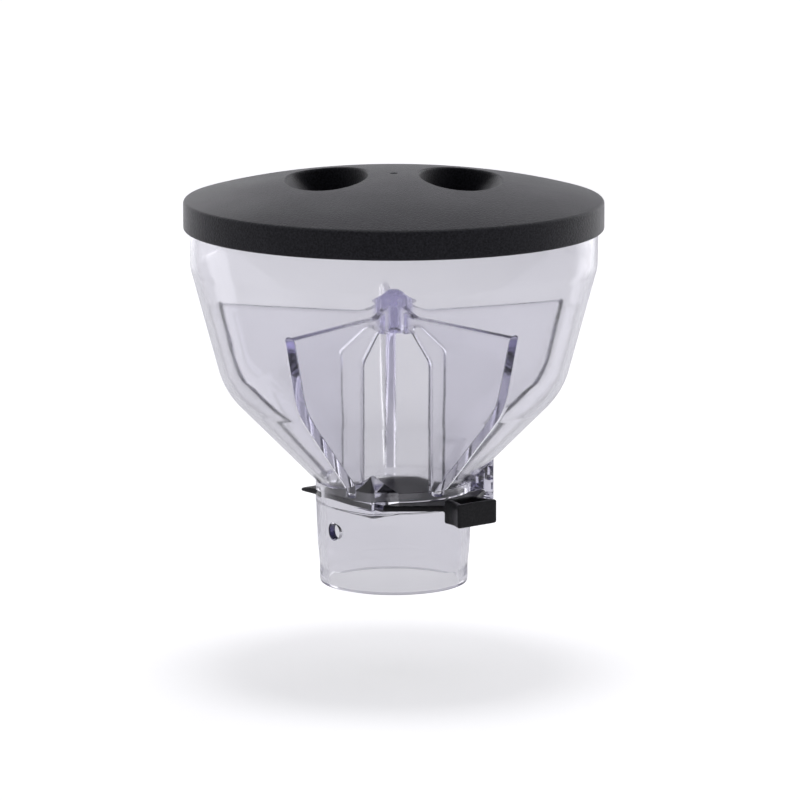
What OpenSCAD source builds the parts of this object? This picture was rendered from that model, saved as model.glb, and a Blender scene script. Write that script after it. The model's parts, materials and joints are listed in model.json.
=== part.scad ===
// Bean hopper of a coffee grinder: a clear funnel bowl on a short tapered neck, five webs
// that carry a centre hub, a black shut-off gate that pulls out, and a black lift-off lid.
// Origin: centre of the neck's bottom rim. +Z is up and the gate pulls out along -Y.

/* [Neck] */
// Outer radius of the straight land that seats in the grinder
land_r = 35.5; // [35:0.1:36]
// Height of that land
land_h = 7; // [6:0.5:9]
// Outer radius of the neck under the gate housing
neck_top_r = 37.3; // [37:0.1:37.5]
// Height of the neck, from its rim to the gate housing
neck_h = 39.5; // [38:0.5:44]
// Wall of the neck
neck_wall = 3.3; // [2.8:0.1:3.6]
// Radius of the hole for the locking screw
lock_hole_r = 3.7; // [3:0.1:4.5]
// Height of the locking hole above the rim
lock_hole_z = 28.2; // [20:0.1:30]

/* [Gate housing] */
// Radius of the opening that the gate shuts
throat_r = 33.5; // [31:0.5:33.5]
// Radius of the round collar
collar_r = 37.5; // [37.5:0.1:38]
// Half width of the square front of the housing
housing_half_w = 32.5; // [32.3:0.1:33]
// Distance from the axis to the flat front of the housing
housing_front = 30.6; // [30:0.1:32]
// Floor under the slot
floor_t = 2.4; // [2:0.1:3]
// Height of the slot
slot_h = 3.4; // [3.2:0.1:4]
// Roof over the slot
roof_t = 4.5; // [4:0.1:5]

/* [Gate] */
// Width of the gate plate
gate_w = 61.8; // [59:0.2:61.8]
// Thickness of the gate plate
gate_t = 2.8; // [2.2:0.1:2.8]
// How far the plate reaches behind the axis
gate_back = 34.2; // [33.8:0.1:34.4]
// Distance from the axis to the back of the handle
handle_back = 48.3; // [46:0.1:50]
// Distance from the axis to the front of the handle
handle_front = 63; // [61:0.5:66]
// Height of the handle
handle_h = 11.4; // [8:0.2:11.4]
// Wall of the handle
handle_wall = 2.4; // [2:0.1:3]

/* [Bowl] */
// Outer radius of the corner between the funnel and the upper wall
shoulder_r = 81.25; // [79:0.25:83]
// Height of that corner above the housing
shoulder_rise = 44.3; // [42:0.1:46]
// Outer radius of the corner between the upper wall and the rim band
rim_corner_r = 97.05; // [96.5:0.05:97.1]
// Height of that corner above the housing
rim_corner_rise = 103.25; // [102:0.25:105]
// Height of the rim above the housing
rim_rise = 131.7; // [130:0.1:133]
// Wall of the bowl
bowl_wall = 3; // [2.5:0.1:3.2]

/* [Webs] */
// Number of webs
web_count = 5; // [5:1:5]
// Height of the level top edges of the webs
web_top_z = 131; // [125:0.5:133]
// Radius of the open channel between the webs
web_inner_r = 28; // [25:0.5:29]
// Thickness of a web at its top edge
web_top_t = 4.4; // [3:0.1:4.8]
// Thickness of a web at its foot
web_foot_t = 5.6; // [4.5:0.1:6.2]
// Radius of the hub
hub_r = 7.6; // [7:0.1:8]

/* [Lid] */
// Outer radius of the lid
lid_r = 100.1; // [100:0.1:103]
// Height of the skirt
skirt_h = 14; // [12:0.5:16]
// Wall of the skirt
skirt_wall = 2.3; // [2:0.1:2.4]
// Rise of the dome above the skirt
dome_rise = 12.2; // [10:0.1:16]
// Thickness of the dome
dome_t = 3; // [2.5:0.1:3.2]
// Turn of the lid on the rim, in degrees
lid_turn = -39; // [-180:1:180]
// Half width of a finger cup
cup_half_w = 20; // [16:0.5:20]
// Half length of a finger cup
cup_half_l = 37; // [28:0.5:38]
// Distance from the axis to the centre of a finger cup
cup_offset = 32; // [31:0.5:33]
// Depth of a finger cup below the dome's top
cup_depth = 20; // [12:1:21]
// Wall of a finger cup
cup_wall = 2.2; // [1.8:0.1:2.4]

/* [Hidden] */
$fn = 96;
big = 130;
arc_steps = 8;
clear_tint = [0.80, 0.79, 0.86, 0.4];
web_tint = [0.74, 0.73, 0.83, 0.5];
hub_tint = [0.62, 0.61, 0.74, 0.6];
gate_black = [0.13, 0.13, 0.14];
lid_black = [0.16, 0.16, 0.17];
cup_black = [0.11, 0.11, 0.12];

// Heights of the housing
slot_z = neck_h + floor_t;
roof_z = slot_z + slot_h;
bowl_z = roof_z + roof_t;
rim_z = bowl_z + rim_rise;

// Neck outline
rim_round = 1.2;
rim_set_in = 0.3;
neck_mid_r = 36.5;
neck_mid_z = 19;
land_z = 2;
land_top_z = land_z + land_h - 0.5;
neck_flare = 0.5;

// Slot around the gate
slot_side_gap = 0.25;
slot_back_gap = 0.3;
slot_half_w = gate_w / 2 + slot_side_gap;
gate_z = slot_z + (slot_h - gate_t) / 2;
slot_back = gate_back + slot_back_gap;

// Gate nose and handle
nose_back_y = -(housing_front + 0.5);
handle_back_half_w = 9;
handle_front_half_w = 12.2;
handle_waist = 1.2;
handle_drop = 1.3;
handle_z = gate_z + gate_t / 2 - handle_h / 2 - handle_drop;
bevel_l = 7;
bevel_edge_t = 1.3;
gate_corner_r = 2;

// Bowl outline: straight runs between four corners, two of them rounded
bowl_foot_r = collar_r;
rim_r = rim_corner_r + 0.3;
shoulder_round = 38;
rim_corner_round = 15;
bowl_corners = [
    [bowl_foot_r, bowl_z],
    [shoulder_r, bowl_z + shoulder_rise],
    [rim_corner_r, bowl_z + rim_corner_rise],
    [rim_r, rim_z]
];

// Split heights of the bowl: funnel, upper wall and rim band
split_low_z = bowl_z + shoulder_rise + 12;
split_high_z = bowl_z + rim_corner_rise + 4;

// Webs and hub
web_foot_z = roof_z + 1;
web_slant_r = 15;
web_slant_z = web_top_z - 8.2;
web_knee_z = web_top_z - 20.7;
web_rise = 5.5;
web_rise_l = 12.5;
hub_top_z = web_top_z + 10.8;
hub_foot_z = web_top_z - 9;
hub_foot_r = hub_r - 0.5;
hub_crown = 5.5;
hub_crown_power = 2.3;
hub_steps = 10;

// Lid
lid_gap = 0.3;
skirt_top_z = rim_z + lid_gap + dome_t + 0.4;
skirt_inner_r = lid_r - skirt_wall;
skirt_z = skirt_top_z - skirt_h;
edge_round = 2.6;
edge_drop = 3.4;
edge_steps = 4;
foot_round = 1;
apex_z = skirt_top_z + dome_rise;
dome_edge_r = lid_r - edge_round;
dome_edge_z = skirt_top_z + 0.6;
dome_drop = apex_z - dome_edge_z;
dome_R = (dome_edge_r * dome_edge_r + dome_drop * dome_drop) / (2 * dome_drop);
cup_floor_z = apex_z - cup_depth;
ramp_foot = 3;
ramp_top_z = apex_z - 3.2;
ring_r = rim_corner_r - bowl_wall - 0.7;
ring_wall = 2;
ring_h = 11;
ring_gap = 0.03;
ring_lead = [0.6, 1.5];

// ---- Outline helpers ----

function unit(v) = v / norm(v);
function cross2(a, b) = a[0] * b[1] - a[1] * b[0];

// Points of an arc from angle a0 to a1 about c
function arc(c, r, a0, a1, n = arc_steps) =
    [for (i = [0:n]) c + r * [cos(a0 + (a1 - a0) * i / n), sin(a0 + (a1 - a0) * i / n)]];

// The corner b of the path a-b-c, rounded with radius r
function rounded(a, b, c, r, n = arc_steps) =
    let (
        u = unit(a - b), v = unit(c - b),
        half = acos(u * v) / 2,
        centre = b + unit(u + v) * r / sin(half),
        p = b + u * r / tan(half),
        q = b + v * r / tan(half),
        a0 = atan2(p[1] - centre[1], p[0] - centre[0]),
        a1 = atan2(q[1] - centre[1], q[0] - centre[0])
    ) arc(centre, r, a0, a1, n);

// Where the corner b of a-b-c goes when both runs move sideways by d, to the left
function moved_corner(a, b, c, d) =
    let (
        u = unit(b - a), v = unit(c - b),
        p = b + d * [-u[1], u[0]],
        q = b + d * [-v[1], v[0]]
    ) p + u * cross2(q - p, v) / cross2(u, v);

function moved_end(a, b, at, d) = at + d * [-unit(b - a)[1], unit(b - a)[0]];

// Outer and inner lines of the bowl, from foot to rim
function bowl_line(c, r1, r2) =
    concat([c[0]], rounded(c[0], c[1], c[2], r1), rounded(c[1], c[2], c[3], r2), [c[3]]);

outer_line = bowl_line(bowl_corners, shoulder_round, rim_corner_round);
inner_corners = [
    [throat_r, bowl_z],
    moved_corner(bowl_corners[0], bowl_corners[1], bowl_corners[2], bowl_wall),
    moved_corner(bowl_corners[1], bowl_corners[2], bowl_corners[3], bowl_wall),
    [rim_r - bowl_wall, rim_z]
];
inner_line = bowl_line(inner_corners, shoulder_round - bowl_wall, rim_corner_round - bowl_wall);

function reversed(p) = [for (i = [len(p) - 1:-1:0]) p[i]];

// Height of the dome's upper face at radius r
function dome_z(r) = apex_z - dome_R + sqrt(dome_R * dome_R - r * r);
function dome_points(r0, r1, drop, n = 14) =
    [for (i = [0:n]) let (r = r0 + (r1 - r0) * i / n) [r, dome_z(r) - drop]];

function ellipse(a, b, n = 56) =
    [for (i = [0:n - 1]) [a * cos(360 * i / n), b * sin(360 * i / n)]];

// ---- Shared solids ----

// The space inside the bowl, down through the throat of the roof
module bowl_space() {
    rotate_extrude() polygon(concat([[0, roof_z], [throat_r, roof_z]], inner_line, [[0, rim_z]]));
}

module bowl_shell() {
    rotate_extrude() polygon(concat(outer_line, reversed(inner_line)));
}

module slab(z0, z1) {
    translate([-big, -big, z0]) cube([2 * big, 2 * big, z1 - z0]);
}

// Round collar with a square front, seen from above
module housing_outline() {
    circle(r = collar_r);
    translate([-housing_half_w, -housing_front]) square([2 * housing_half_w, housing_front]);
}

module slot_outline() {
    translate([-slot_half_w, -big]) square([2 * slot_half_w, big + slot_back]);
}

// ---- Neck and gate housing ----

module neck() {
    inner_foot_r = land_r - neck_wall - 0.4;
    outer = concat(
        arc([land_r - rim_set_in - rim_round, rim_round], rim_round, -90, 0, 4),
        [[land_r, land_z], [land_r, land_top_z], [neck_mid_r, neck_mid_z], [neck_top_r, neck_h]]
    );
    inner = [
        [neck_top_r - neck_wall, neck_h],
        [inner_foot_r, rim_round],
        [inner_foot_r + neck_flare, 0]
    ];
    color(clear_tint) difference() {
        rotate_extrude() polygon(concat(outer, inner));
        translate([-big, 0, lock_hole_z]) rotate([0, 90, 0]) cylinder(r = lock_hole_r, h = big);
    }
}

module housing_floor() {
    color(clear_tint) translate([0, 0, neck_h]) linear_extrude(floor_t) difference() {
        housing_outline();
        circle(r = throat_r);
    }
}

// What is left of the housing's middle layer beside and behind the slot
module slot_layer() {
    translate([0, 0, slot_z]) linear_extrude(slot_h) difference() {
        housing_outline();
        slot_outline();
    }
}

module guide_rail(side) {
    color(clear_tint) intersection() {
        slot_layer();
        translate([side > 0 ? slot_half_w / 2 : -big, -big, 0]) cube([big - slot_half_w / 2, 2 * big, big]);
    }
}
module guide_rail_left() { guide_rail(-1); }
module guide_rail_right() { guide_rail(1); }

module gate_end_stop() {
    color(clear_tint) intersection() {
        slot_layer();
        translate([-slot_half_w / 2, 0, 0]) cube([slot_half_w, big, big]);
    }
}

module housing_roof() {
    color(clear_tint) translate([0, 0, roof_z]) linear_extrude(roof_t) difference() {
        housing_outline();
        circle(r = throat_r);
    }
}

// Front corner of the housing, carried up until the funnel covers it
module corner_block(side) {
    color(clear_tint) difference() {
        translate([side > 0 ? 0 : -housing_half_w, -housing_front, bowl_z])
            cube([housing_half_w, housing_front, housing_half_w]);
        rotate_extrude() polygon([
            [0, bowl_z - 1], [bowl_foot_r, bowl_z - 1], [bowl_foot_r, bowl_z],
            bowl_corners[1], [0, bowl_corners[1][1]]
        ]);
    }
}
module corner_block_left() { corner_block(-1); }
module corner_block_right() { corner_block(1); }

// ---- Bowl ----

module bowl_part(z0, z1) {
    color(clear_tint) intersection() {
        bowl_shell();
        slab(z0, z1);
    }
}
module bowl_funnel() { bowl_part(0, split_low_z); }
module bowl_wall_upper() { bowl_part(split_low_z, split_high_z); }
module bowl_rim_band() { bowl_part(split_high_z, rim_z + 1); }

// ---- Webs and hub ----

module hub_solid() {
    crown = [for (i = [hub_steps:-1:0]) let (t = i / hub_steps)
        [hub_r * t, hub_top_z - hub_crown * pow(t, hub_crown_power)]];
    rotate_extrude() polygon(concat([[0, hub_foot_z], [hub_foot_r, hub_foot_z]], crown));
}

module web_hub() { color(hub_tint) hub_solid(); }

// One drafted web: its outline, its tapered section, and the bowl's inner face trim each other
module web(i) {
    turn = 270 + i * 360 / web_count;
    sweep_r = (web_rise * web_rise + web_rise_l * web_rise_l) / (2 * web_rise);
    sweep_a = asin(web_rise_l / sweep_r);
    sweep = arc([hub_foot_r + web_rise_l, web_top_z + sweep_r], sweep_r, 270 - sweep_a, 270);
    underside = [
        [0, web_slant_z], [web_slant_r, web_slant_z],
        [web_inner_r, web_knee_z], [web_inner_r, web_foot_z]
    ];
    color(web_tint) difference() {
        intersection() {
            rotate([90, 0, turn]) translate([0, 0, -big / 2]) linear_extrude(big) polygon(concat(
                underside,
                [[big, web_foot_z], [big, web_top_z]],
                reversed(sweep),
                [[0, web_top_z + web_rise]]
            ));
            rotate([90, 0, turn + 90]) linear_extrude(big) polygon([
                [-web_foot_t / 2, web_foot_z], [web_foot_t / 2, web_foot_z],
                [web_top_t / 2, web_top_z + web_rise], [-web_top_t / 2, web_top_z + web_rise]
            ]);
            bowl_space();
        }
        hub_solid();
    }
}
module web_front() { web(0); }
module web_right() { web(1); }
module web_back_right() { web(2); }
module web_back_left() { web(3); }
module web_left() { web(4); }

// ---- Gate ----

// Flat plate with small round corners behind and a bevelled rear edge that parts the beans
module gate_plate() {
    w = gate_w / 2;
    r = gate_corner_r;
    color(gate_black) intersection() {
        translate([0, 0, gate_z]) linear_extrude(gate_t) polygon(concat(
            [[-w, nose_back_y], [w, nose_back_y]],
            arc([w - r, gate_back - r], r, 0, 90, 5),
            arc([-w + r, gate_back - r], r, 90, 180, 5)
        ));
        rotate([90, 0, 90]) translate([0, 0, -gate_w]) linear_extrude(2 * gate_w) polygon([
            [nose_back_y, gate_z], [gate_back, gate_z], [gate_back, gate_z + bevel_edge_t],
            [gate_back - bevel_l, gate_z + gate_t], [nose_back_y, gate_z + gate_t]
        ]);
    }
}

// The plate outside the housing, which narrows to the handle
module gate_nose() {
    w = gate_w / 2;
    color(gate_black) translate([0, 0, gate_z]) linear_extrude(gate_t) polygon([
        [-w, nose_back_y], [w, nose_back_y],
        [handle_back_half_w, -handle_back], [-handle_back_half_w, -handle_back]
    ]);
}

// Half of the handle's outline, from its back to its front, set in by d all round
function handle_side(d) =
    let (
        y0 = -handle_back - d, y1 = -handle_front + d,
        x0 = handle_back_half_w - d, x1 = handle_front_half_w - d
    ) [for (i = [0:arc_steps]) let (t = i / arc_steps)
        [x0 + (x1 - x0) * t * t - handle_waist * sin(180 * t) / 2, y0 + (y1 - y0) * t]];
function handle_outline(d) =
    concat(handle_side(d), [for (p = reversed(handle_side(d))) [-p[0], p[1]]]);

// Finger loop, open above and below
module gate_handle() {
    color(gate_black) translate([0, 0, handle_z]) linear_extrude(handle_h) difference() {
        polygon(handle_outline(0));
        polygon(handle_outline(handle_wall));
    }
}

// ---- Lid ----

module cup_prism(extra, z0, z1) {
    translate([0, 0, z0]) linear_extrude(z1 - z0)
        polygon(ellipse(cup_half_w + extra, cup_half_l + extra));
}

module at_cup(side) { rotate([0, 0, lid_turn]) translate([side * cup_offset, 0, 0]) children(); }

// Everything below the dome's upper face
module under_dome() {
    rotate_extrude() polygon(concat(
        [[0, skirt_z], [dome_edge_r, skirt_z]],
        reversed(dome_points(0, dome_edge_r, 0))
    ));
}

module lid_cover() {
    edge = [for (i = [1:edge_steps]) let (a = 90 * i / edge_steps)
        [dome_edge_r + edge_round * sin(a), dome_edge_z - edge_drop * (1 - cos(a))]];
    color(lid_black) difference() {
        rotate_extrude() polygon(concat(
            dome_points(0, dome_edge_r, 0),
            edge,
            [[skirt_inner_r, dome_edge_z - edge_drop]],
            reversed(dome_points(0, skirt_inner_r - 0.2, dome_t))
        ));
        for (side = [-1, 1]) at_cup(side) cup_prism(cup_wall, skirt_z, apex_z + 1);
    }
}

module lid_skirt() {
    color(lid_black) rotate_extrude() polygon(concat(
        arc([lid_r - foot_round, skirt_z + foot_round], foot_round, -90, 0, 4),
        [
            [lid_r, dome_edge_z - edge_drop],
            [skirt_inner_r, dome_edge_z - edge_drop],
            [skirt_inner_r, skirt_z]
        ]
    ));
}

// Ring under the dome that keeps the lid centred inside the rim
module lid_locating_ring() {
    in_r = ring_r - ring_wall;
    top_z = dome_z(ring_r) - dome_t - ring_gap;
    color(lid_black) rotate_extrude() polygon([
        [in_r, top_z - ring_h],
        [ring_r - ring_lead[0], top_z - ring_h],
        [ring_r, top_z - ring_h + ring_lead[1]],
        [ring_r, top_z],
        [in_r, dome_z(in_r) - dome_t - ring_gap]
    ]);
}

// Section of a finger cup across the bar: steep at the bar, a level floor, a ramp outside.
// It is set down by d, which gives the outer skin.
module cup_section(side, d) {
    far = cup_half_w + 2 * cup_wall;
    rotate([90, 0, 0]) translate([0, 0, -big / 2]) linear_extrude(big) polygon([
        [-side * big, apex_z + 1], [-side * big, cup_floor_z - d],
        [side * ramp_foot, cup_floor_z - d], [side * cup_half_w, ramp_top_z - d],
        [side * far, ramp_top_z - d], [side * far, apex_z + 1]
    ]);
}

module finger_cup(side) {
    color(cup_black) difference() {
        intersection() {
            at_cup(side) intersection() {
                cup_prism(cup_wall, cup_floor_z - cup_wall, apex_z + 1);
                cup_section(side, cup_wall);
            }
            under_dome();
        }
        at_cup(side) intersection() {
            cup_prism(0, cup_floor_z, apex_z + 1);
            cup_section(side, 0);
        }
    }
}
module finger_cup_left() { finger_cup(-1); }
module finger_cup_right() { finger_cup(1); }

neck();
housing_floor();
guide_rail_left();
guide_rail_right();
gate_end_stop();
housing_roof();
corner_block_left();
corner_block_right();
bowl_funnel();
bowl_wall_upper();
bowl_rim_band();
web_front();
web_right();
web_back_right();
web_back_left();
web_left();
web_hub();
gate_plate();
gate_nose();
gate_handle();
lid_cover();
lid_skirt();
lid_locating_ring();
finger_cup_left();
finger_cup_right();
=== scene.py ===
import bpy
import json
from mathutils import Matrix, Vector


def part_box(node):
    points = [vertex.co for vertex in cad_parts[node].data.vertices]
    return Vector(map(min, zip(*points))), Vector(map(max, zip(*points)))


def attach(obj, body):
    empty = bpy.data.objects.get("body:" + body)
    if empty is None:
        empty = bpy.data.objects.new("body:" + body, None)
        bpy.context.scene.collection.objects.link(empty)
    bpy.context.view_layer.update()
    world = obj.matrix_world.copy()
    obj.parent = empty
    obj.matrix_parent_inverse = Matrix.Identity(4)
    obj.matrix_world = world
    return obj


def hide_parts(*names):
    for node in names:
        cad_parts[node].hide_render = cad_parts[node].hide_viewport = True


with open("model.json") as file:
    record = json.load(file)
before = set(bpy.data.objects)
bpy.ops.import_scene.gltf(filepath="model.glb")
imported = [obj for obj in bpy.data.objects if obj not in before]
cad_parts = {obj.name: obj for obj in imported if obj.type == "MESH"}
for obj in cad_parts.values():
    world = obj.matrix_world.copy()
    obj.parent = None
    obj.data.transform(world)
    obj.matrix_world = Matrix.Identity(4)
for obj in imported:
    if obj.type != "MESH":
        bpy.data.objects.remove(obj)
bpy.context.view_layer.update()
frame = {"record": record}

import json
import math

import bmesh
import bpy
import numpy as np
from mathutils import Matrix, Vector

# Shapes are worked out in millimetres, in the frame's axes, and scaled to metres when they are done.
MM = 0.001


def box(node):
    """A CAD node's lowest and highest corners, in mm."""
    lo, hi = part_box(node)
    return [v / MM for v in lo], [v / MM for v in hi]


# ---- Places taken from the frame, in mm ----
NECK_TOP = box("neck")[1][2]
SLOT_Z = box("housing_floor")[1][2]
ROOF_Z = box("housing_roof")[0][2]
BOWL_Z = box("housing_roof")[1][2]
HOUSE_X = box("guide_rail_right")[1][0]
RIM_Z = box("bowl_rim_band")[1][2]
RIM_R = box("bowl_rim_band")[1][0]
LID_R = box("lid_skirt")[1][0]
SKIRT_Z = box("lid_skirt")[0][2]
APEX_Z = box("lid_cover")[1][2]
HUB_Z = box("web_hub")[1][2]

# ---- Sizes that the boxes do not give, in mm ----
WALL = 3.0
THROAT_R = 33.5
COLLAR_R = 37.5
HOUSE_FRONT = 30.6
LAND_R, LAND_LOW, LAND_HIGH = 35.5, 2.0, 8.5
NECK_MID, NECK_TOP_R = (36.5, 19.0), 37.3
NECK_INNER_TOP_R, NECK_INNER_FOOT_R = 34.0, 31.8
LOCK_HOLE_R, LOCK_HOLE_Z = 3.7, 28.2
SLOT_HALF_W, SLOT_BACK = 31.15, 34.5
SHOULDER_ROUND, RIM_ROUND = 38.0, 15.0
WEB_Z, WEB_FOOT, WEB_INNER_R = 131.0, 46.3, 28.0
WEB_RISE, WEB_RISE_RUN, WEB_RISE_R = 5.5, 12.5, 19.6
WEB_HALF_FOOT, WEB_HALF_TOP = 2.8, 2.2
HUB_R, HUB_CROWN, HUB_CROWN_POWER, CROWN_SWEEP_R = 7.6, 5.5, 2.3, 16.95
HANDLE_BACK, HANDLE_HALF_BACK, HANDLE_HALF_GROWTH = 48.3, 9.0, 3.2
HANDLE_WAIST, HANDLE_WALL = 0.6, 2.4
BEVEL_RUN, BEVEL_DROP = 7.0, 1.5
SKIRT_WALL, DOME_T = 2.3, 3.0
DOME_BEND, DOME_BEND_4 = 0.001059, 1.832e-8
RING_IN_R, RING_OUT_R = 91.35, 93.35
LID_TURN = math.radians(-39)
CUP_OFFSET, CUP_HALF_W, CUP_HALF_L, CUP_DEPTH, CUP_WALL = 32.0, 20.0, 37.0, 20.0, 2.2


# ---- Mesh helpers ----
def rounded(path, closed=True, step=6.0):
    """A path of (x, y, radius) corners as dense points, with each corner rounded by its own radius."""
    out, n = [], len(path)
    for i, (x, y, r) in enumerate(path):
        p = np.array((x, y), float)
        if r <= 0 or (not closed and i in (0, n - 1)):
            out.append(p)
            continue
        u = np.array(path[i - 1][:2]) - p
        v = np.array(path[(i + 1) % n][:2]) - p
        u, v = u / np.hypot(*u), v / np.hypot(*v)
        half = math.acos(max(-1.0, min(1.0, float(u @ v)))) / 2
        if half > math.radians(89.5):
            out.append(p)
            continue
        m = (u + v) / np.hypot(*(u + v))
        centre = p + m * r / math.sin(half)
        p0, p1 = p + u * r / math.tan(half) - centre, p + v * r / math.tan(half) - centre
        a0 = math.atan2(p0[1], p0[0])
        turn = (math.atan2(p1[1], p1[0]) - a0 + math.pi) % (2 * math.pi) - math.pi
        k = max(2, math.ceil(abs(math.degrees(turn)) / (step * min(1.0, 13.0 / r))))
        for j in range(k + 1):
            a = a0 + turn * j / k
            out.append(centre + r * np.array((math.cos(a), math.sin(a))))
    return np.array(out)


def supported(points, closed=True, longest=8.0, edge=0.6):
    """Adds points along long straight runs, close to their ends and at even steps between."""
    out, n = [], len(points)
    for i in range(n if closed else n - 1):
        a, b = points[i], points[(i + 1) % n]
        out.append(a)
        d = float(np.hypot(*(b - a)))
        if d > 4 * edge:
            stops = np.linspace(edge, d - edge, max(2, math.ceil(d / longest)))
            out += [a + (b - a) * s / d for s in stops]
    if not closed:
        out.append(points[-1])
    return np.array(out)


def offset(points, d, closed=False):
    """The path moved sideways by d, to the right of its direction."""
    n = len(points)
    res = []
    for i in range(n):
        p = points[i]
        a = points[i - 1] if (closed or i > 0) else None
        b = points[(i + 1) % n] if (closed or i < n - 1) else None
        dirs = []
        if a is not None:
            dirs.append((p - a) / np.hypot(*(p - a)))
        if b is not None:
            dirs.append((b - p) / np.hypot(*(b - p)))
        norms = [np.array((t[1], -t[0])) for t in dirs]
        m = sum(norms)
        m = m / np.hypot(*m)
        res.append(p + m * d / max(0.3, float(m @ norms[0])))
    return np.array(res)


def solid(name, verts, faces):
    """A closed mesh object in mm with its faces turned outward."""
    mesh = bpy.data.meshes.new(name)
    mesh.from_pydata([tuple(map(float, v)) for v in verts], [], [tuple(map(int, f)) for f in faces])
    bm = bmesh.new()
    bm.from_mesh(mesh)
    bmesh.ops.recalc_face_normals(bm, faces=bm.faces)
    bmesh.ops.triangulate(bm, faces=[f for f in bm.faces if len(f.verts) > 4])
    bm.to_mesh(mesh)
    bm.free()
    obj = bpy.data.objects.new(name, mesh)
    bpy.context.scene.collection.objects.link(obj)
    return obj


def revolve(name, profile, n=256):
    """A closed (r, z) profile turned about Z. Points on the axis become poles."""
    verts, rows = [], []
    ang = np.arange(n) * 2 * math.pi / n
    for r, z in profile:
        if r < 1e-6:
            rows.append([len(verts)] * n)
            verts.append((0, 0, z))
        else:
            rows.append(list(range(len(verts), len(verts) + n)))
            verts += [(r * c, r * s, z) for c, s in zip(np.cos(ang), np.sin(ang))]
    faces = []
    for i in range(len(rows)):
        a, b = rows[i], rows[(i + 1) % len(rows)]
        pole_a, pole_b = a[0] == a[1], b[0] == b[1]
        if pole_a and pole_b:
            continue
        for j in range(n):
            k = (j + 1) % n
            if pole_a:
                faces.append((a[j], b[k], b[j]))
            elif pole_b:
                faces.append((a[j], a[k], b[j]))
            else:
                faces.append((a[j], a[k], b[k], b[j]))
    return solid(name, verts, faces)


def stack(name, rings, closed=False):
    """Rings of equal length joined in order, with a cap on the first and last, or as a closed loop."""
    n = len(rings[0])
    verts = [p for ring in rings for p in ring]
    faces = []
    m = len(rings)
    for i in range(m if closed else m - 1):
        a, b = i * n, ((i + 1) % m) * n
        faces += [(a + j, a + (j + 1) % n, b + (j + 1) % n, b + j) for j in range(n)]
    if not closed:
        faces += [tuple(range(n))[::-1], tuple(range((m - 1) * n, m * n))]
    return solid(name, verts, faces)


def prism(name, outline, z0, z1, edge=0.6, steps=4):
    """An outline drawn up from z0 to z1 with rounded top and bottom edges."""
    turns = [math.pi / 2 * i / steps for i in range(steps + 1)]
    rings = []
    for a in turns:
        ring = offset(outline, -edge * (1 - math.sin(a)), True)
        rings.append([(x, y, z0 + edge * (1 - math.cos(a))) for x, y in ring])
    for a in reversed(turns):
        ring = offset(outline, -edge * (1 - math.sin(a)), True)
        rings.append([(x, y, z1 - edge * (1 - math.cos(a))) for x, y in ring])
    return stack(name, rings)


def apply_mods(obj):
    """Turns an object's modifiers into its mesh."""
    bpy.context.view_layer.update()
    dg = bpy.context.evaluated_depsgraph_get()
    mesh = bpy.data.meshes.new_from_object(obj.evaluated_get(dg), depsgraph=dg)
    obj.modifiers.clear()
    old, obj.data = obj.data, mesh
    bpy.data.meshes.remove(old)


def combine(base, others, how="UNION"):
    """Booleans each of the others into base, and removes them."""
    for other in others:
        mod = base.modifiers.new("cut", "BOOLEAN")
        mod.object, mod.operation, mod.solver = other, how, "MANIFOLD"
        apply_mods(base)
        old = other.data
        bpy.data.objects.remove(other)
        bpy.data.meshes.remove(old)
    return base


def finish_mesh(obj, sharp=38.0, flat_over=1000.0):
    """Scales to metres, marks the sharp edges, and weights the normals by face area."""
    mesh = obj.data
    mesh.transform(Matrix.Scale(MM, 4))
    bm = bmesh.new()
    bm.from_mesh(mesh)
    lim = math.radians(sharp)
    for f in bm.faces:
        f.smooth = True
    for e in bm.edges:
        e.smooth = len(e.link_faces) == 2 and e.calc_face_angle(0.0) < lim
    bm.to_mesh(mesh)
    bm.free()
    mod = obj.modifiers.new("normals", "WEIGHTED_NORMAL")
    mod.mode, mod.keep_sharp, mod.weight = "FACE_AREA_WITH_ANGLE", True, 60
    apply_mods(obj)
    keep_normals_close(obj.data, flat_over)
    return obj


def keep_normals_close(mesh, flat_over, most=14.0):
    """Gives long flat faces, and corners whose smooth normal leans too far, the face's own normal."""
    n = len(mesh.loops)
    smooth, own = np.empty(n * 3, np.float32), np.empty(len(mesh.polygons) * 3, np.float32)
    mesh.corner_normals.foreach_get("vector", smooth)
    mesh.polygons.foreach_get("normal", own)
    sides = np.empty(len(mesh.polygons), np.int32)
    mesh.polygons.foreach_get("loop_total", sides)
    smooth, own = smooth.reshape(-1, 3), np.repeat(own.reshape(-1, 3), sides, axis=0)
    ends, side, first = np.empty(len(mesh.edges) * 2, int), np.empty(n, int), np.empty(len(sides), int)
    mesh.edges.foreach_get("vertices", ends)
    mesh.loops.foreach_get("edge_index", side)
    mesh.polygons.foreach_get("loop_start", first)
    place = np.empty(len(mesh.vertices) * 3, np.float32)
    mesh.vertices.foreach_get("co", place)
    run = place.reshape(-1, 3)[ends.reshape(-1, 2)]
    length = np.linalg.norm(run[:, 0] - run[:, 1], axis=1)
    lean = (smooth * own).sum(1) < math.cos(math.radians(most))
    lean |= np.repeat(np.maximum.reduceat(length[side], first) > flat_over * MM, sides)
    smooth[lean] = own[lean]
    mesh.normals_split_custom_set(smooth.tolist())


# ---- Smooth implicit shapes, meshed as surface nets ----
def smin(a, b, k):
    """The smaller of two distances, blended over k."""
    h = np.maximum(k - np.abs(a - b), 0.0) / k
    return np.minimum(a, b) - h * h * k * 0.25


def smax(a, b, k):
    """The larger of two distances, blended over k."""
    return -smin(-a, -b, k)


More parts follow.
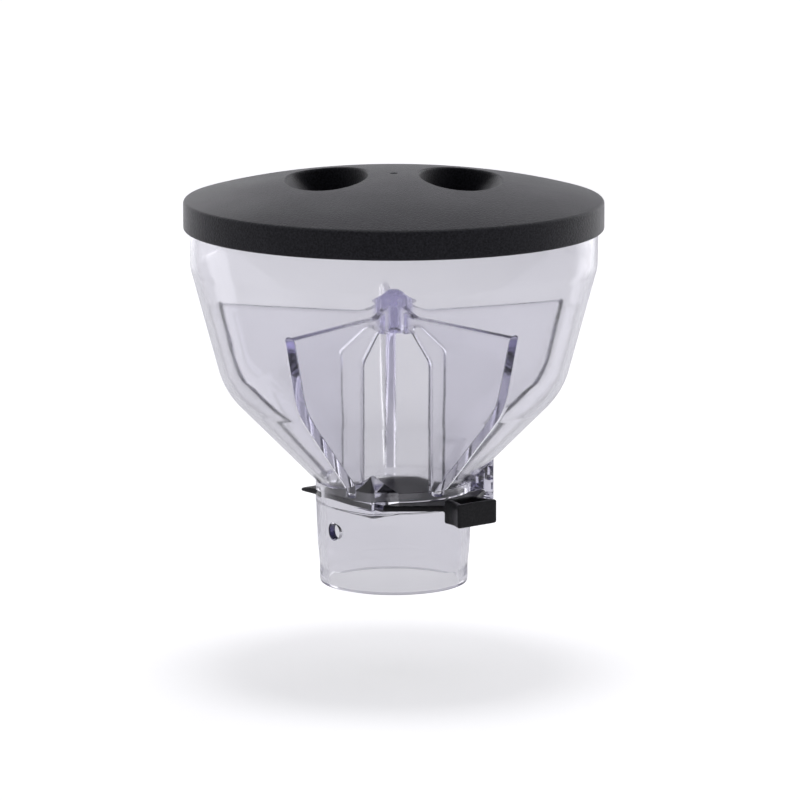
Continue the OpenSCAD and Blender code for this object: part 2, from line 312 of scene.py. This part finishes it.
def nets(name, f, lo, hi, step):
    """The closed surface f = 0 inside a box, as quads pulled onto the exact surface."""
    lo, hi = np.array(lo, float), np.array(hi, float)
    ax = [np.arange(lo[i], hi[i] + step, step) for i in range(3)]
    X, Y, Z = np.meshgrid(*ax, indexing="ij")
    d = f(X, Y, Z)
    d[0], d[-1] = 1, 1
    d[:, 0], d[:, -1] = 1, 1
    d[:, :, 0], d[:, :, -1] = 1, 1
    s = d < 0
    corners = [(i, j, k) for i in (0, 1) for j in (0, 1) for k in (0, 1)]
    n = np.array(d.shape) - 1
    cell = sum(s[i:n[0] + i, j:n[1] + j, k:n[2] + k].astype(np.int8) for i, j, k in corners)
    mixed = (cell > 0) & (cell < 8)
    ids = -np.ones(mixed.shape, int)
    ids[mixed] = np.arange(mixed.sum())
    idx = np.argwhere(mixed)
    pos, cnt = np.zeros((len(idx), 3)), np.zeros(len(idx))
    for a in corners:
        for axis in range(3):
            if a[axis]:
                continue
            b = list(a)
            b[axis] = 1
            da = d[idx[:, 0] + a[0], idx[:, 1] + a[1], idx[:, 2] + a[2]]
            db = d[idx[:, 0] + b[0], idx[:, 1] + b[1], idx[:, 2] + b[2]]
            hit = (da < 0) != (db < 0)
            t = np.where(hit, da / np.where(hit, da - db, 1), 0)
            p = np.tile(np.array(a, float), (len(idx), 1))
            p[:, axis] += t
            pos += p * hit[:, None]
            cnt += hit
    base = lo + idx * step
    P = base + pos / cnt[:, None] * step
    e = step * 0.02
    for _ in range(4):
        v = f(P[:, 0], P[:, 1], P[:, 2])
        ahead = [f(P[:, 0] + i * e, P[:, 1] + j * e, P[:, 2] + k * e)
                 for i, j, k in np.eye(3, dtype=int)]
        g = np.stack([(a - v) / e for a in ahead], 1)
        P = P - g * (v / np.maximum((g * g).sum(1), 0.05))[:, None]
        P = np.clip(P, base - 0.1 * step, base + 1.1 * step)
    quads = []
    for axis in range(3):
        o1, o2 = [(1, 2), (2, 0), (0, 1)][axis]
        sl0 = [slice(1, -1)] * 3
        sl0[axis] = slice(0, -1)
        sl1 = list(sl0)
        sl1[axis] = slice(1, None)
        s0, s1 = s[tuple(sl0)], s[tuple(sl1)]
        flip = np.argwhere(s0 != s1)
        inside_first = s0[tuple(flip.T)]
        c = flip.copy()
        for q in range(3):
            if q != axis:
                c[:, q] += 1
        e1, e2 = np.zeros(3, int), np.zeros(3, int)
        e1[o1], e2[o2] = 1, 1
        quad = np.stack([ids[tuple(p.T)] for p in (c - e1 - e2, c - e2, c, c - e1)], 1)
        quad[~inside_first] = quad[~inside_first][:, ::-1]
        quads.append(quad)
    return solid(name, P, np.concatenate(quads))


QUICK = 1.0

# ---- Bowl lines, in (r, z) ----
SHOULDER = (81.25, BOWL_Z + 44.3)
RIM_CORNER = (97.05, BOWL_Z + 103.25)


def meet(p, u, q, v):
    """Where the line from p along u meets the line from q along v."""
    t = ((q[0] - p[0]) * v[1] - (q[1] - p[1]) * v[0]) / (u[0] * v[1] - u[1] * v[0])
    return p[0] + u[0] * t, p[1] + u[1] * t


def bowl_corner(d):
    """The two bowl corners with the wall set in by d."""
    pts = [np.array(p, float) for p in ((COLLAR_R, BOWL_Z), SHOULDER, RIM_CORNER, (RIM_R, RIM_Z))]
    res = []
    for i in (1, 2):
        u = (pts[i] - pts[i - 1]) / np.hypot(*(pts[i] - pts[i - 1]))
        v = (pts[i + 1] - pts[i]) / np.hypot(*(pts[i + 1] - pts[i]))
        p = pts[i] + d * np.array((-u[1], u[0]))
        q = pts[i] + d * np.array((-v[1], v[0]))
        res.append(meet(p, u, q, v))
    return res


(c1, c2), (m1, m2) = bowl_corner(WALL), bowl_corner(WALL / 2)
INNER = rounded([
    (THROAT_R, ROOF_Z - 4, 0), (THROAT_R, BOWL_Z, 1.2),
    (*c1, SHOULDER_ROUND - WALL), (*c2, RIM_ROUND - WALL), (RIM_R - WALL, RIM_Z, 0)], False, 2.5)
MIDDLE = rounded([
    (LAND_R, 20, 0), (LAND_R, BOWL_Z, 0.5),
    (*m1, SHOULDER_ROUND - WALL / 2), (*m2, RIM_ROUND - WALL / 2),
    (RIM_R - WALL / 2, RIM_Z, 0)], False, 2.5)


def r_inner(z):
    """The bowl's inner radius at height z."""
    return np.interp(z, INNER[:, 1], INNER[:, 0])


def shell():
    """Neck, collar and bowl wall as one turned moulding."""
    profile = rounded([
        (LAND_R - 1.1, 0, 0), (LAND_R - 0.25, 0, 0.8), (LAND_R, LAND_LOW, 0.6), (LAND_R, LAND_HIGH, 6),
        (*NECK_MID, 20), (NECK_TOP_R, NECK_TOP, 0),
        (COLLAR_R, NECK_TOP + 0.2, 0), (COLLAR_R, BOWL_Z, 1.0),
        (*SHOULDER, SHOULDER_ROUND), (*RIM_CORNER, RIM_ROUND),
        (RIM_R, RIM_Z, 0.9), (RIM_R - WALL, RIM_Z, 0.9),
        (*c2, RIM_ROUND - WALL), (*c1, SHOULDER_ROUND - WALL),
        (THROAT_R, BOWL_Z, 1.2), (THROAT_R, NECK_TOP, 0.4),
        (NECK_INNER_TOP_R, NECK_TOP, 0), (NECK_INNER_FOOT_R, 1.2, 0.5),
        (NECK_INNER_FOOT_R + 0.5, 0, 0.3)], True, 4.0)
    return revolve("hopper_moulding", supported(profile), int(288 / QUICK))


def housing():
    """The square front of the gate housing, up to where the funnel covers its corners."""
    front, back, corner = -HOUSE_FRONT, -1, 1.4
    out = rounded([
        (-HOUSE_X, front, corner), (HOUSE_X, front, corner),
        (HOUSE_X, back, 0), (-HOUSE_X, back, 0)], True, 10)
    block = prism("housing", out, NECK_TOP, BOWL_Z + 12, 0.5)
    keep = supported(MIDDLE, False, 4.0)
    keep = keep[keep[:, 1] < 75]
    core = [(0, keep[0][1])] + [tuple(p) for p in keep] + [(0, keep[-1][1])]
    return combine(block, [revolve("core", core, 128)], "DIFFERENCE")


def web_half(z):
    """Half the thickness of a web at height z."""
    return np.interp(z, [WEB_FOOT, WEB_Z + WEB_RISE], [WEB_HALF_FOOT, WEB_HALF_TOP])


def turned(points, deg):
    """Points turned about Z by an angle in degrees."""
    a = math.radians(deg)
    c, s = math.cos(a), math.sin(a)
    return [(x * c - y * s, x * s + y * c, z) for x, y, z in points]


# Radius of the arc in which a web's top edge rises to the hub
SWEEP_R = (WEB_RISE**2 + WEB_RISE_RUN**2) / (2 * WEB_RISE)


def web(i):
    """One web: its outline in the (r, z) plane with rounded edges, thicker towards its foot."""
    a1 = math.asin(WEB_RISE_RUN / SWEEP_R)
    sweep = [(WEB_RISE_R - SWEEP_R * math.sin(a), WEB_Z + SWEEP_R - SWEEP_R * math.cos(a), 0)
             for a in np.linspace(0, a1, 9)]
    wall = [(r, z, 0) for r, z in supported(MIDDLE, False, 6.0) if BOWL_Z - 1 < z < WEB_Z - 3]
    wall.append((float(np.interp(WEB_Z, MIDDLE[:, 1], MIDDLE[:, 0])), WEB_Z, 0))
    path = [(WEB_INNER_R, WEB_FOOT, 1.9), (35.5, WEB_FOOT, 0)] + wall + sweep + [
        (3.0, WEB_Z + WEB_RISE, 0), (3.0, WEB_Z - 8.2, 0), (15, WEB_Z - 8.2, 4),
        (WEB_INNER_R, WEB_Z - 20.7, 5)]
    line = supported(rounded(path, True, 9.0), True, 7.0, 2.0)
    edge, steps = 1.6, 5
    rings = []
    for side in (-1, 1):
        turns = [math.pi / 2 * k / steps for k in range(steps + 1)]
        for a in (reversed(turns) if side < 0 else turns):
            ring = offset(line, -edge * (1 - math.cos(a)), True)
            h = web_half(ring[:, 1]) - edge + edge * math.sin(a)
            rings.append([(r, side * y, z) for (r, z), y in zip(ring, h)])
    rings = [turned(ring, 270 + 72 * i) for ring in rings]
    return stack("web", rings)


def wall_fillet(i):
    """The concave fillet between a web and the bowl wall: up one side, over the top, down the other."""
    def surface(y, z):
        r = float(r_inner(z))
        x = math.sqrt(r * r - y * y)
        dr = float(r_inner(z + 0.5) - r_inner(z - 0.5))
        s = math.atan(dr)
        cs, sn = math.cos(s), math.sin(s)
        return np.array((x, y, z)), np.array((-x / r * cs, -y / r * cs, sn))

    top = WEB_Z - float(web_half(WEB_Z))
    rho, rows, path = 1.3, 46, []
    for z in np.linspace(WEB_FOOT + 0.4, top, rows):
        path.append((-float(web_half(z)), z, -1.0, 0.0))
    h = float(web_half(top))
    for a in np.linspace(0, math.pi, 15)[1:-1]:
        path.append((-h * math.cos(a), top + h * math.sin(a), -math.cos(a), math.sin(a)))
    path += [(-y, z, -oy, oz) for y, z, oy, oz in reversed(path[:rows])]
    rings = []
    for y, z, oy, oz in path:
        centre = rho - 0.06
        sect = [(centre, -0.9)]
        for t in np.linspace(0, math.pi / 2, 9):
            sect.append((centre - rho * math.sin(t), centre - rho * math.cos(t)))
        sect += [(-1.2, centre), (-1.2, -0.9)]
        ring = []
        for n, o in sect:
            p, nrm = surface(y + o * oy, z + o * oz)
            ring.append(tuple(p + nrm * n))
        rings.append(ring)
    return stack("fillet", [turned(ring, 270 + 72 * i) for ring in rings])


def hub():
    """The domed hub with the flares where the five webs run into it."""
    path, tip, h = [], 12.3, 2.15
    near = math.sqrt(HUB_R**2 - h * h)
    for i in range(5):
        a = 270 + 72 * i
        for x, y, r in ((tip, -h, 0), (tip, h, 0), (near, h, 3.0),
                        (HUB_R * math.cos(math.radians(36)), HUB_R * math.sin(math.radians(36)), 3.0)):
            X, Y, _ = turned([(x, y, 0)], a)[0]
            path.append((X, Y, r))
        X, Y, _ = turned([(near, -h, 0)], a + 72)[0]
        path.append((X, Y, 3.0))
    out = supported(rounded(path, True, 8.0), True, 1.2, 0.3)
    rr = np.hypot(out[:, 0], out[:, 1])

    def crown(r):
        top = HUB_Z - HUB_CROWN * np.minimum(r / HUB_R, 1.3) ** HUB_CROWN_POWER
        under = np.maximum(CROWN_SWEEP_R**2 - (WEB_RISE_R - r) ** 2, 0)
        sweep = WEB_Z + CROWN_SWEEP_R - np.sqrt(under)
        sink = 0.4 * np.clip((r - HUB_R) / 2, 0, 1)
        return np.minimum(top, sweep - sink)

    rings = []
    foot = HUB_Z - 19.8
    for s in (0.02, 0.5, 0.93):
        rings.append([(x * s, y * s, foot) for x, y in out])
    rings.append([(x, y, foot + 0.5) for x, y in out])
    rings.append([(x, y, z) for (x, y), z in zip(out, crown(rr) - 2.5)])
    rim = [(1.0, 0.9), (0.985, 0.45), (0.955, 0.15)]
    for s, drop in rim + [(k / 10, 0) for k in range(9, 0, -1)] + [(0.02, 0)]:
        rings.append([(x * s, y * s, z) for (x, y), z in zip(out, crown(rr * s) - drop)])
    return stack("hub", rings)


def slot_and_hole():
    """Cutters for the gate's slot and for the locking hole, which is chamfered outside."""
    w, front = SLOT_HALF_W, -70
    outline = np.array([(-w, front), (w, front), (w, SLOT_BACK), (-w, SLOT_BACK)], float)
    slot = prism("slot", outline, SLOT_Z, ROOF_Z, 0.15, 2)
    wide, out, inside = LOCK_HOLE_R + 1.5, -45, -30
    prof = rounded([(0, out, 0), (wide, out, 0), (wide, -COLLAR_R + 0.15, 0), (LOCK_HOLE_R, -36.3, 0.5),
                    (LOCK_HOLE_R, inside, 0), (0, inside, 0)], False, 12)
    hole = revolve("hole", prof, 72)
    for v in hole.data.vertices:
        v.co = (v.co.z, v.co.x, v.co.y + LOCK_HOLE_Z)
    return [slot, hole]


def hopper():
    """Neck, housing, bowl, five webs and hub as one clear moulding."""
    obj = shell()
    combine(obj, [housing()])
    combine(obj, slot_and_hole(), "DIFFERENCE")
    parts = []
    for i in range(5):
        parts += [web(i), wall_fillet(i)]
    combine(obj, parts + [hub()])
    return finish_mesh(obj, 25.0, 9.0)


# ---- Gate: plate, nose and finger loop as one moulding ----
def gate():
    """The slide gate in its closed place."""
    plate_lo, plate_hi = box("gate_plate")
    loop_lo, loop_hi = box("gate_handle")
    w, back, front = plate_hi[0], plate_hi[1], plate_lo[1]
    z0, z1 = plate_lo[2], plate_hi[2]

    def bevelled(x, y, z):
        """Distance to the plate with its thinned rear edge and to the narrowing nose."""
        q = np.abs(x) - w
        run = (y + HANDLE_BACK) / (HANDLE_BACK + front)
        nose = (np.abs(x) - (HANDLE_HALF_BACK + run * (w - HANDLE_HALF_BACK))) * 0.62
        side = np.where(y < front, np.maximum(q, nose), q)
        far = y - back
        plan = smax(smax(side, far, 3.0), -(y + HANDLE_BACK + 1.2), 0.5)
        top = z - z1
        slope = (z - z1 + (y - (back - BEVEL_RUN)) * (BEVEL_DROP / BEVEL_RUN)) * 0.978
        return smax(plan, smax(smax(top, slope, 0.8), z0 - z, 0.5), 0.9)

    def loop(x, y, z):
        """Distance to the finger loop, open above and below."""
        t = np.clip((y + HANDLE_BACK) / (loop_lo[1] + HANDLE_BACK), 0, 1)
        half = HANDLE_HALF_BACK + HANDLE_HALF_GROWTH * t * t - HANDLE_WAIST * np.sin(np.pi * t)
        out = smax(smax(np.abs(x) - half, y + HANDLE_BACK, 1.6), loop_lo[1] - y, 1.6)
        inn = smax(np.abs(x) - half + HANDLE_WALL, y + HANDLE_BACK + HANDLE_WALL, 1.4)
        inn = smax(inn, loop_lo[1] + HANDLE_WALL - y, 1.4)
        wall = smax(out, -inn, 0.7)
        return smax(smax(wall, z - loop_hi[2], 1.0), loop_lo[2] - z, 1.0)

    def both(x, y, z):
        return smin(bevelled(x, y, z), loop(x, y, z), 1.0)

    edge = 1.5
    lo = (-w - edge, loop_lo[1] - edge, loop_lo[2] - edge)
    hi = (w + edge, back + edge, loop_hi[2] + edge)
    return finish_mesh(nets("gate_moulding", both, lo, hi, 0.6 * QUICK), 50)


# ---- Lid ----
def dome(r):
    """Height of the lid's upper face at radius r."""
    return APEX_Z - 0.05 - DOME_BEND * r * r - DOME_BEND_4 * r**4


def dome_slope(r):
    """How steeply the upper face falls at radius r."""
    return 2 * DOME_BEND * r + 4 * DOME_BEND_4 * r**3


def cup_void(x, y, z, side):
    """Distance to the finger recess: steep beside the bar, level floor, ramp on the outer side."""
    c, s = math.cos(LID_TURN), math.sin(LID_TURN)
    u = side * (x * c + y * s) - CUP_OFFSET
    v = -x * s + y * c
    a, b = CUP_HALF_W, CUP_HALF_L
    k1 = np.sqrt((u / a) ** 2 + (v / b) ** 2) + 1e-6
    k2 = np.sqrt((u / a**2) ** 2 + (v / b**2) ** 2) + 1e-6
    wall = k1 * (k1 - 1) / k2
    floor = APEX_Z - CUP_DEPTH
    soft = 2.5
    e = np.clip((u - 3) / soft, -30, 30)
    ramp = floor + 0.988 * soft * np.log1p(np.exp(e))
    lean = 0.988 / (1 + np.exp(-e))
    under = (ramp - z) / np.sqrt(1 + lean * lean)
    return smax(wall, under, 3.0), wall


def above_dome(x, y, z):
    """Distance above the lid's upper face."""
    r = np.hypot(x, y)
    return (z - dome(r)) / np.sqrt(1 + dome_slope(r) ** 2)


def cup_cutter(side):
    """What a finger recess takes out of the lid, blended into its upper face."""
    def f(x, y, z):
        void, wall = cup_void(x, y, z, side)
        cut = smin(-above_dome(x, y, z), void, 1.1) + 0.02
        return np.maximum(np.maximum(cut, wall - 8), z - APEX_Z - 2)

    return f


def cup_skin(side):
    """The wall that hangs under a finger recess."""
    def f(x, y, z):
        void = cup_void(x, y, z, side)[0]
        return np.maximum(void - CUP_WALL, above_dome(x, y, z) + 1.4)

    return f


def cup_region(side):
    """The box around one finger recess, as its lowest and highest corners."""
    c, s = math.cos(LID_TURN), math.sin(LID_TURN)
    across, along = abs(c), abs(s)
    mid = np.array((CUP_OFFSET * side * c, CUP_OFFSET * side * s, APEX_Z - 10.5))
    half = np.array((
        CUP_HALF_W * across + CUP_HALF_L * along + 9,
        CUP_HALF_L * across + CUP_HALF_W * along + 9, 14.5))
    return mid - half, mid + half


def lid():
    """Domed lid with skirt, locating ring, two finger recesses and a centre dimple."""
    rs = np.linspace(0, LID_R - 2.6, 26)
    top = [(r, dome(r), 0) for r in rs]
    edge_z = dome(LID_R)
    skirt_in = LID_R - SKIRT_WALL
    path = top + [(LID_R, edge_z, 1.9), (LID_R, SKIRT_Z, 1.0),
                  (skirt_in, SKIRT_Z, 0.5), (skirt_in, edge_z - 3.2, 1.5)]
    path += [(r, dome(r) - DOME_T, 0) for r in np.linspace(LID_R - 5.5, 0, 22)]
    around_z = int(256 / QUICK)
    body = revolve("lid_moulding", rounded(path, False, 10.0), around_z)
    ring_hi = dome(92.4) - 2.4
    ring_lo = box("lid_locating_ring")[0][2]
    ring = rounded([
        (RING_IN_R, ring_lo, 0.5), (RING_OUT_R - 0.6, ring_lo, 0.4), (RING_OUT_R, ring_lo + 1.5, 0.6),
        (RING_OUT_R, ring_hi, 0), (RING_IN_R, ring_hi, 0)], True, 15)
    combine(body, [revolve("ring", ring, around_z)])
    for shape, cell, how in ((cup_skin, 1.0, "UNION"), (cup_cutter, 0.62, "DIFFERENCE")):
        cups = [nets("cup", shape(side), *cup_region(side), cell * QUICK) for side in (1, -1)]
        combine(body, cups, how)
    dimple = rounded([
        (0, APEX_Z - 0.6, 0), (1.5, APEX_Z - 0.5, 1.5), (2.6, APEX_Z + 0.3, 0),
        (2.6, APEX_Z + 2, 0), (0, APEX_Z + 2, 0)], False, 15)
    combine(body, [revolve("dimple", dimple, 48)], "DIFFERENCE")
    return finish_mesh(body, 45)


# ---- Materials ----
def new_material(name):
    """A material with one Principled shader and the object's own coordinates."""
    mat = bpy.data.materials.new(name)
    mat.use_nodes = True
    nt = mat.node_tree
    nt.nodes.clear()
    out = nt.nodes.new("ShaderNodeOutputMaterial")
    bsdf = nt.nodes.new("ShaderNodeBsdfPrincipled")
    nt.links.new(bsdf.outputs[0], out.inputs["Surface"])
    coord = nt.nodes.new("ShaderNodeTexCoord")
    return mat, nt, out, bsdf, coord.outputs["Object"]


def noise(nt, coord, scale, detail=3.0, rough=0.5):
    n = nt.nodes.new("ShaderNodeTexNoise")
    n.inputs["Scale"].default_value = scale
    n.inputs["Detail"].default_value = detail
    n.inputs["Roughness"].default_value = rough
    nt.links.new(coord, n.inputs["Vector"])
    return n.outputs["Fac"]


def mapped(nt, value, lo, hi, a=0.3, b=0.7):
    """A value's range from a to b stretched to lo to hi."""
    m = nt.nodes.new("ShaderNodeMapRange")
    m.inputs["From Min"].default_value, m.inputs["From Max"].default_value = a, b
    m.inputs["To Min"].default_value, m.inputs["To Max"].default_value = lo, hi
    nt.links.new(value, m.inputs["Value"])
    return m.outputs[0]


def mixed(nt, fac, a, b):
    """Two fixed colours mixed by a linked factor."""
    m = nt.nodes.new("ShaderNodeMix")
    m.data_type = "RGBA"
    m.inputs["A"].default_value, m.inputs["B"].default_value = (*a, 1), (*b, 1)
    nt.links.new(fac, m.inputs["Factor"])
    return m.outputs["Result"]


def mixed_colours(nt, fac, base, over):
    """A linked colour mixed towards a fixed one."""
    m = nt.nodes.new("ShaderNodeMix")
    m.data_type = "RGBA"
    nt.links.new(base, m.inputs["A"])
    m.inputs["B"].default_value = (*over, 1)
    nt.links.new(fac, m.inputs["Factor"])
    return m.outputs["Result"]


def bump(nt, height, strength, distance):
    b = nt.nodes.new("ShaderNodeBump")
    b.inputs["Strength"].default_value = strength
    b.inputs["Distance"].default_value = distance
    nt.links.new(height, b.inputs["Height"])
    return b.outputs[0]


def edge_wear(nt, co):
    """How worn a raised edge is, 0 to 1, broken up by a blotchy noise."""
    geo = nt.nodes.new("ShaderNodeNewGeometry")
    raised = mapped(nt, geo.outputs["Pointiness"], 0, 1, 0.53, 0.62)
    both = nt.nodes.new("ShaderNodeMath")
    both.operation = "MULTIPLY"
    nt.links.new(raised, both.inputs[0])
    nt.links.new(mapped(nt, noise(nt, co, 160.0, 4.0), 0.1, 1, 0.4, 0.65), both.inputs[1])
    return both.outputs[0]


def hub_painted_shade_mask(nt, co):
    """1 inside the thick hub and 0 elsewhere: the mask for painted shade, a darker lavender tint that
    stands in for the darkening the thick clear hub shows.
    """
    axis = nt.nodes.new("ShaderNodeSeparateXYZ")
    nt.links.new(co, axis.inputs[0])
    flat = nt.nodes.new("ShaderNodeCombineXYZ")
    nt.links.new(axis.outputs["X"], flat.inputs["X"])
    nt.links.new(axis.outputs["Y"], flat.inputs["Y"])
    r = nt.nodes.new("ShaderNodeVectorMath")
    r.operation = "LENGTH"
    nt.links.new(flat.outputs[0], r.inputs[0])
    both = nt.nodes.new("ShaderNodeMath")
    both.operation = "MULTIPLY"
    nt.links.new(mapped(nt, r.outputs["Value"], 1, 0, 7.5 * MM, 11 * MM), both.inputs[0])
    height = mapped(nt, axis.outputs["Z"], 0, 1, (HUB_Z - 22) * MM, (HUB_Z - 18) * MM)
    nt.links.new(height, both.inputs[1])
    return both.outputs[0]


def clear_plastic():
    """Clear polymer, faintly lavender through its thickness, with fine scuffs and flow marks, and
    painted shade on the thick hub.
    """
    mat, nt, out, bsdf, co = new_material("clear_plastic")
    bsdf.inputs["Transmission Weight"].default_value = 1.0
    bsdf.inputs["IOR"].default_value = 1.5
    flow = noise(nt, co, 28.0, 2.0)
    scuff = noise(nt, co, 420.0, 4.0, 0.6)
    thin = mixed(nt, mapped(nt, flow, 0, 1), (0.988, 0.986, 0.997), (0.968, 0.966, 0.98))
    # Painted shade: by place, the hub's tone is mixed towards a darker lavender (0.72, 0.70, 0.88),
    # standing in for the shade of the thick hub.
    tone = mixed_colours(nt, hub_painted_shade_mask(nt, co), thin, (0.72, 0.70, 0.88))
    nt.links.new(tone, bsdf.inputs["Base Color"])
    nt.links.new(mapped(nt, scuff, 0.015, 0.07), bsdf.inputs["Roughness"])
    nt.links.new(bump(nt, flow, 0.04, 0.002), bsdf.inputs["Normal"])
    vol = nt.nodes.new("ShaderNodeVolumeAbsorption")
    vol.inputs["Color"].default_value = (0.40, 0.36, 0.65, 1)
    vol.inputs["Density"].default_value = 12.0
    nt.links.new(vol.outputs[0], out.inputs["Volume"])
    return mat


def black_plastic(name, dark, light, worn, rough, grain, depth, specular, sheen):
    """Grained black polymer with uneven gloss and slightly worn raised edges."""
    mat, nt, _, bsdf, co = new_material(name)
    broad = noise(nt, co, 35.0, 3.0)
    fine = noise(nt, co, grain, 2.0, 0.6)
    speck = mixed(nt, mapped(nt, fine, 0, 1, 0.35, 0.65), dark, light)
    tone = mixed_colours(nt, edge_wear(nt, co), speck, worn)
    nt.links.new(tone, bsdf.inputs["Base Color"])
    nt.links.new(mapped(nt, broad, rough - 0.05, rough + 0.06), bsdf.inputs["Roughness"])
    nt.links.new(bump(nt, fine, 0.5, depth), bsdf.inputs["Normal"])
    bsdf.inputs["IOR"].default_value = 1.5
    bsdf.inputs["Specular IOR Level"].default_value = specular
    bsdf.inputs["Sheen Weight"].default_value = sheen
    bsdf.inputs["Sheen Roughness"].default_value = 0.35
    return mat


# ---- Pieces ----
clear = clear_plastic()
lid_mat = black_plastic(
    "lid_grained_plastic", dark=(0.007, 0.007, 0.009), light=(0.026, 0.026, 0.032),
    worn=(0.05, 0.05, 0.055), rough=0.50, grain=1100.0, depth=0.0005, specular=0.2, sheen=0.55)
gate_mat = black_plastic(
    "gate_satin_plastic", dark=(0.005, 0.005, 0.006), light=(0.014, 0.014, 0.016),
    worn=(0.03, 0.03, 0.032), rough=0.37, grain=1100.0, depth=0.0003, specular=0.25, sheen=0.0)

hopper_obj = hopper()
hopper_obj.data.materials.clear()
hopper_obj.data.materials.append(clear)
gate_obj = gate()
gate_obj.data.materials.clear()
gate_obj.data.materials.append(gate_mat)
lid_obj = lid()
lid_obj.data.materials.clear()
lid_obj.data.materials.append(lid_mat)

bodies = frame["record"]["behaviour"]["bodies"]
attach(hopper_obj, "hopper")
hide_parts(*bodies["hopper"])
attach(gate_obj, "gate")
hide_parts(*bodies["gate"])
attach(lid_obj, "lid")
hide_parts(*bodies["lid"])


# ---- Studio ----
def floor():
    """Pale floor below the object, brighter to the camera than as a source of light."""
    mesh = bpy.data.meshes.new("floor")
    n, R, z = 96, 14.0, -0.044
    verts = [(R * math.cos(2 * math.pi * i / n), R * math.sin(2 * math.pi * i / n), z) for i in range(n)]
    mesh.from_pydata(verts, [], [tuple(range(n))])
    obj = bpy.data.objects.new("studio_floor", mesh)
    bpy.context.scene.collection.objects.link(obj)
    mat, nt, _, bsdf, _ = new_material("floor_white")
    bsdf.inputs["Base Color"].default_value = (0.86, 0.86, 0.87, 1)
    bsdf.inputs["Roughness"].default_value = 0.9
    bsdf.inputs["Specular IOR Level"].default_value = 0.1
    path = nt.nodes.new("ShaderNodeLightPath")
    bsdf.inputs["Emission Color"].default_value = (1, 1, 1, 1)
    glow = mapped(nt, path.outputs["Is Camera Ray"], 0, 0.46, 0, 1)
    nt.links.new(glow, bsdf.inputs["Emission Strength"])
    mesh.materials.append(mat)
    return obj


def lamp(name, where, to, size, power, size_y=None):
    """A rectangular softbox at a place, aimed at a point."""
    data = bpy.data.lights.new(name, "AREA")
    data.shape = "RECTANGLE"
    data.size, data.size_y = size, size_y or size
    data.energy = power
    obj = bpy.data.objects.new(name, data)
    obj.location = where
    obj.rotation_euler = (Vector(to) - Vector(where)).to_track_quat("-Z", "Y").to_euler()
    bpy.context.scene.collection.objects.link(obj)
    return obj


# The camera's azimuth from the front and its elevation, in degrees
CAM_AZ, CAM_EL = -39, 10.36


def around(az, el, dist, target=(0, 0, 0.1)):
    """A point seen from the target at an azimuth from the camera's own and an elevation, in degrees."""
    a, e = math.radians(CAM_AZ) + math.radians(az), math.radians(el)
    x, y = math.sin(a) * math.cos(e), -math.cos(a) * math.cos(e)
    return Vector(target) + dist * Vector((x, y, math.sin(e)))


floor()

world = bpy.data.worlds.new("studio")
bpy.context.scene.world = world
world.use_nodes = True
wn = world.node_tree
bg = wn.nodes["Background"] if "Background" in wn.nodes else wn.nodes.new("ShaderNodeBackground")
toward = around(0, 0, 1.0, (0, 0, 0))
wc = wn.nodes.new("ShaderNodeTexCoord")
dot = wn.nodes.new("ShaderNodeVectorMath")
dot.operation = "DOT_PRODUCT"
dot.inputs[1].default_value = toward
wn.links.new(wc.outputs["Generated"], dot.inputs[0])
front = mapped(wn, dot.outputs["Value"], 0, 1, 0.15, 0.75)
tone = mixed(wn, front, (0.53, 0.525, 0.56), (0.09, 0.09, 0.10))
wpath = wn.nodes.new("ShaderNodeLightPath")
seen = wn.nodes.new("ShaderNodeMix")
seen.data_type = "RGBA"
wn.links.new(wpath.outputs["Is Camera Ray"], seen.inputs["Factor"])
wn.links.new(tone, seen.inputs["A"])
seen.inputs["B"].default_value = (1, 1, 1, 1)
wn.links.new(seen.outputs["Result"], bg.inputs["Color"])
bg.inputs["Strength"].default_value = 1.0

sun_data = bpy.data.lights.new("overhead_softbox", "SUN")
sun_data.energy, sun_data.angle = 0.75, math.radians(16)
sun = bpy.data.objects.new("overhead_softbox", sun_data)
bpy.context.scene.collection.objects.link(sun)
lamp("left_softbox", around(-160, 14, 1.3), (0, 0, 0.1), 0.5, 1.5, 1.0)
lamp("right_softbox", around(139, 14, 1.3), (0, 0, 0.1), 0.7, 2.7, 1.0)

cam_data = bpy.data.cameras.new("camera")
cam = bpy.data.objects.new("camera", cam_data)
bpy.context.scene.collection.objects.link(cam)
cam_data.lens, cam_data.sensor_width = 244.8, 36
cam_data.shift_x, cam_data.shift_y = 0.00775, -0.0313
cam_data.clip_start, cam_data.clip_end = 0.05, 60
cam.location = around(0, CAM_EL, 2.6)
cam.rotation_euler = (Vector((0, 0, 0.1)) - cam.location).to_track_quat("-Z", "Y").to_euler()
bpy.context.scene.camera = cam
bpy.context.scene.view_settings.view_transform = "Standard"
for kind in ("max", "transmission", "glossy"):
    setattr(bpy.context.scene.cycles, kind + "_bounces", 32)
